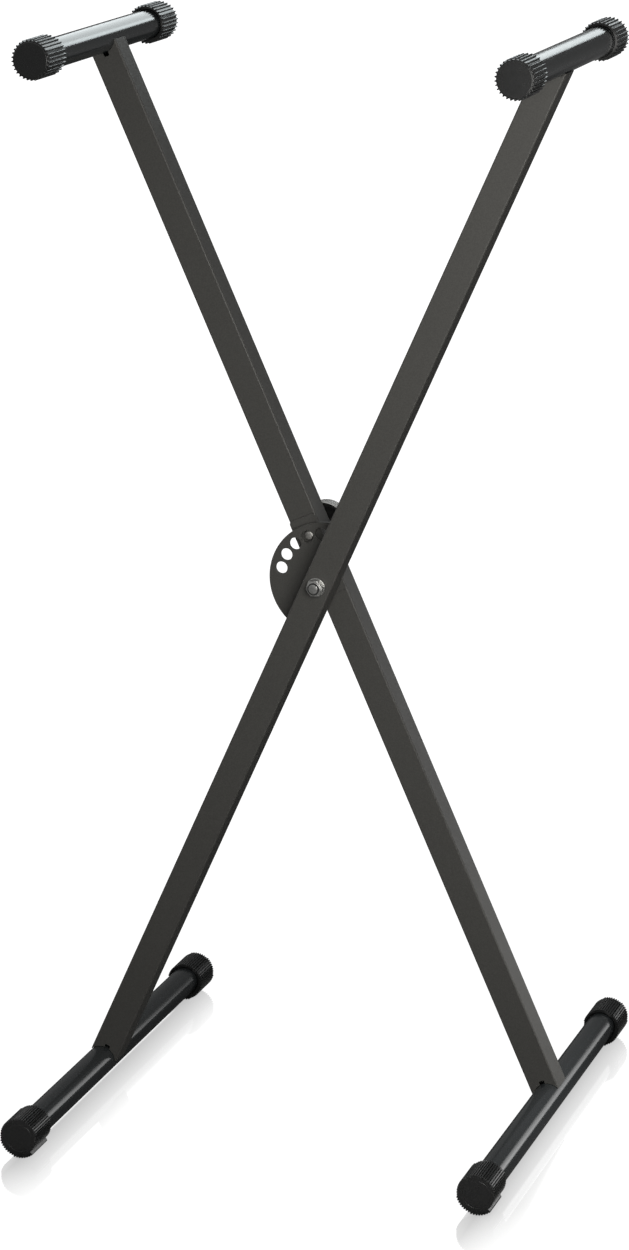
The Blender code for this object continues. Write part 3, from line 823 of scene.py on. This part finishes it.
def addGround(name, down):
    # a flat sheet with an empty material
    bm = bmesh.new()
    bmesh.ops.create_grid(bm, x_segments=8, y_segments=8, size=floorLook["size"])
    sheet = addPiece(name, meshFrom(name, bm))
    sheet.location.z = -down
    finish = bpy.data.materials.new(name)
    finish.use_nodes = True
    finish.node_tree.nodes.remove(finish.node_tree.nodes["Principled BSDF"])
    sheet.data.materials.append(finish)
    return finish.node_tree


def buildFloor():
    # the camera sees a white floor with soft reflections and shadows, while the object is lit by and mirrors
    # a darker one
    tree = addGround("floor", floorLook["down"])
    path = addNode(tree, "ShaderNodeLightPath")
    camera = path.outputs["Is Camera Ray"]
    place = addNode(tree, "ShaderNodeTexCoord").outputs["Object"]
    axes = addNode(tree, "ShaderNodeSeparateXYZ")
    tree.links.new(place, axes.inputs["Vector"])
    reach = addNode(tree, "ShaderNodeVectorMath", operation="LENGTH")
    tree.links.new(place, reach.inputs[0])
    reach = reach.outputs["Value"]

    # the faces that look forward mirror a lighter stretch before them
    ahead = ramped(tree, axes.outputs["Y"], *floorLook["frontY"], 0, floorLook["frontBounce"])
    ahead = mathOf(tree, "MULTIPLY", ahead, path.outputs["Is Glossy Ray"])
    shade = ramped(tree, camera, 0, 1, floorLook["bounce"], floorLook["shade"])
    matt = addNode(tree, "ShaderNodeBsdfDiffuse")
    tree.links.new(mathOf(tree, "ADD", ahead, shade), matt.inputs["Color"])
    white = addNode(tree, "ShaderNodeEmission")
    white.inputs["Strength"].default_value = floorLook["white"]
    whiteShare = ramped(tree, reach, *floorLook["whiteReach"], floorLook["nearWhite"], 1)
    ground = blended(tree, mathOf(tree, "MULTIPLY", whiteShare, camera), matt, white)

    # its gloss fades with the distance from the line under each foot tube
    gloss = addNode(tree, "ShaderNodeBsdfGlossy")
    gloss.inputs["Color"].default_value = (1, 1, 1, 1)
    gloss.inputs["Roughness"].default_value = floorLook["roughness"]
    side = mathOf(tree, "ABSOLUTE", axes.outputs["X"])
    away = mathOf(tree, "ABSOLUTE", mathOf(tree, "SUBTRACT", side, floorLook["footX"]))
    byTube = ramped(tree, away, 0, floorLook["fadeOver"], floorLook["mirror"], 0)
    byReach = ramped(tree, reach, *floorLook["glossReach"], 1, 0)
    mirrorShare = mathOf(tree, "MULTIPLY", byTube, byReach)
    surface = blended(tree, mathOf(tree, "MULTIPLY", mirrorShare, camera), ground, gloss)
    tree.links.new(surface.outputs["Shader"], tree.nodes["Material Output"].inputs["Surface"])

    # a clear film over it marks the rays that come off the floor, so the dark cards are white to them
    film = addGround("floor_film", floorLook["filmDown"])
    glass = addNode(film, "ShaderNodeBsdfTransparent")
    film.links.new(glass.outputs[0], film.nodes["Material Output"].inputs["Surface"])


worldLook = {"fill": (0.92, 0.96, 1.0, 1), "level": 0.12}


def buildWorld():
    # a dim fill for the object, and white for what the camera, gloss and glass see
    world = bpy.data.worlds.new("studio")
    bpy.context.scene.world = world
    world.use_nodes = True
    tree = world.node_tree
    fill = tree.nodes["Background"]
    fill.inputs["Color"].default_value = worldLook["fill"]
    fill.inputs["Strength"].default_value = worldLook["level"]
    white = addNode(tree, "ShaderNodeBackground")
    white.inputs["Color"].default_value = (1, 1, 1, 1)
    path = addNode(tree, "ShaderNodeLightPath").outputs
    seen = mathOf(tree, "MAXIMUM", path["Is Camera Ray"], path["Is Glossy Ray"])
    seen = mathOf(tree, "MAXIMUM", seen, path["Is Transmission Ray"])
    surface = blended(tree, seen, fill, white)
    tree.links.new(surface.outputs["Shader"], tree.nodes["World Output"].inputs["Surface"])


# only a lamp that is inGloss shows as a highlight; a spot lamp has a cone, in degrees, and an aim
lamps = [
    {"name": "key", "kind": "POINT", "place": (0.50, -0.92, 0.78), "radius": 0.35, "watts": 47,
     "inGloss": True, "colour": (1.0, 0.985, 0.955)},
    {"name": "back fill", "kind": "POINT", "place": (-1.3, 1.1, 0.6), "radius": 0.35, "watts": 80,
     "inGloss": False, "colour": (1.0, 0.985, 0.955)},
    {"name": "low right fill", "kind": "SPOT", "place": (1.0, 0.0, 0.75), "aim": (0.2, 0.0, 0.04), "cone": 25,
     "radius": 0.1, "watts": 42, "inGloss": False, "colour": (1.0, 1.0, 1.0)},
]
# boxes and cards stand upright before or behind the object: left, right, bottom and top edges, and their y
softBoxes = [
    {"name": "upper back box", "edges": (0.42, 1.0, 1.58, 2.6), "y": 3.0, "level": 3.7,
     "colour": (0.88, 0.98, 1.0)},
    {"name": "upper back box left", "edges": (-1.25, 0.42, 1.58, 2.6), "y": 3.0, "level": 1.8,
     "colour": (0.88, 0.98, 1.0)},
    {"name": "low right box", "edges": (1.4, 2.4, 0.0, 1.25), "y": 3.0, "level": 0.8, "colour": (1, 1, 1)},
    {"name": "low right box middle", "edges": (1.74, 2.35, 0.2, 1.1), "y": 2.98, "level": 1.8,
     "colour": (1, 1, 1)},
]
darkCards = [
    {"name": "right card", "edges": (0.32, 1.8, 0.64, 1.9), "y": 1.36, "glow": 0.12},
    {"name": "middle card", "edges": (-1.6, 0.32, 0.5, 1.2), "y": 1.36, "glow": 0.12},
    {"name": "back card", "edges": (-5, 5, -0.02, 5), "y": 3.3, "glow": 0.12},
    {"name": "front card", "edges": (-5, 5, -0.02, 5), "y": -4.5, "glow": 0.3},
]
cardPaint = {"colour": (0.02, 0.02, 0.02), "roughness": 1.0}


def buildLamp(values):
    data = bpy.data.lights.new(values["name"], values["kind"])
    data.shadow_soft_size = values["radius"]
    data.energy = values["watts"]
    data.color = values["colour"]
    lamp = bpy.data.objects.new(values["name"], data)
    bpy.context.scene.collection.objects.link(lamp)
    lamp.location = values["place"]
    lamp.visible_camera = False
    lamp.visible_glossy = values["inGloss"]
    if values["kind"] == "SPOT":
        data.spot_size = math.radians(values["cone"])
        data.spot_blend = 1
        lamp.rotation_euler = (Vector(values["aim"]) - lamp.location).to_track_quat("-Z", "Y").to_euler()


def buildSoftBox(values):
    left, right, bottom, top = values["edges"]
    data = bpy.data.lights.new(values["name"], "AREA")
    data.shape = "RECTANGLE"
    data.size, data.size_y = right - left, top - bottom
    data.energy = values["level"] * math.pi * data.size * data.size_y
    data.color = values["colour"]
    lamp = bpy.data.objects.new(values["name"], data)
    bpy.context.scene.collection.objects.link(lamp)
    lamp.location = ((left + right) / 2, values["y"], (bottom + top) / 2)
    lamp.rotation_euler = (-math.pi / 2, 0, 0)
    lamp.visible_camera = False


def buildDarkCard(values):
    # gives gloss something dark to mirror, unseen by the camera and white to rays off the floor
    left, right, bottom, top = values["edges"]
    bm = bmesh.new()
    corners = [bm.verts.new((x, values["y"], z))
               for x, z in ((left, bottom), (right, bottom), (right, top), (left, top))]
    bm.faces.new(corners)
    card = addPiece(values["name"].replace(" ", "_"), meshFrom(values["name"], bm))
    card.visible_camera = False
    card.visible_diffuse = False
    card.visible_shadow = False
    finish, tree, shader = newFinish("dark card", cardPaint["colour"], cardPaint["roughness"])
    shader.inputs["Emission Color"].default_value = (1, 1, 1, 1)
    depth = addNode(tree, "ShaderNodeLightPath").outputs["Transparent Depth"]
    tree.links.new(ramped(tree, depth, 0, 1, values["glow"], 1), shader.inputs["Emission Strength"])
    card.data.materials.append(finish)


buildCamera()
buildFloor()
buildWorld()
for values in lamps:
    buildLamp(values)
for values in softBoxes:
    buildSoftBox(values)
for values in darkCards:
    buildDarkCard(values)
bpy.context.scene.view_settings.view_transform = "Standard"
print("studio set")
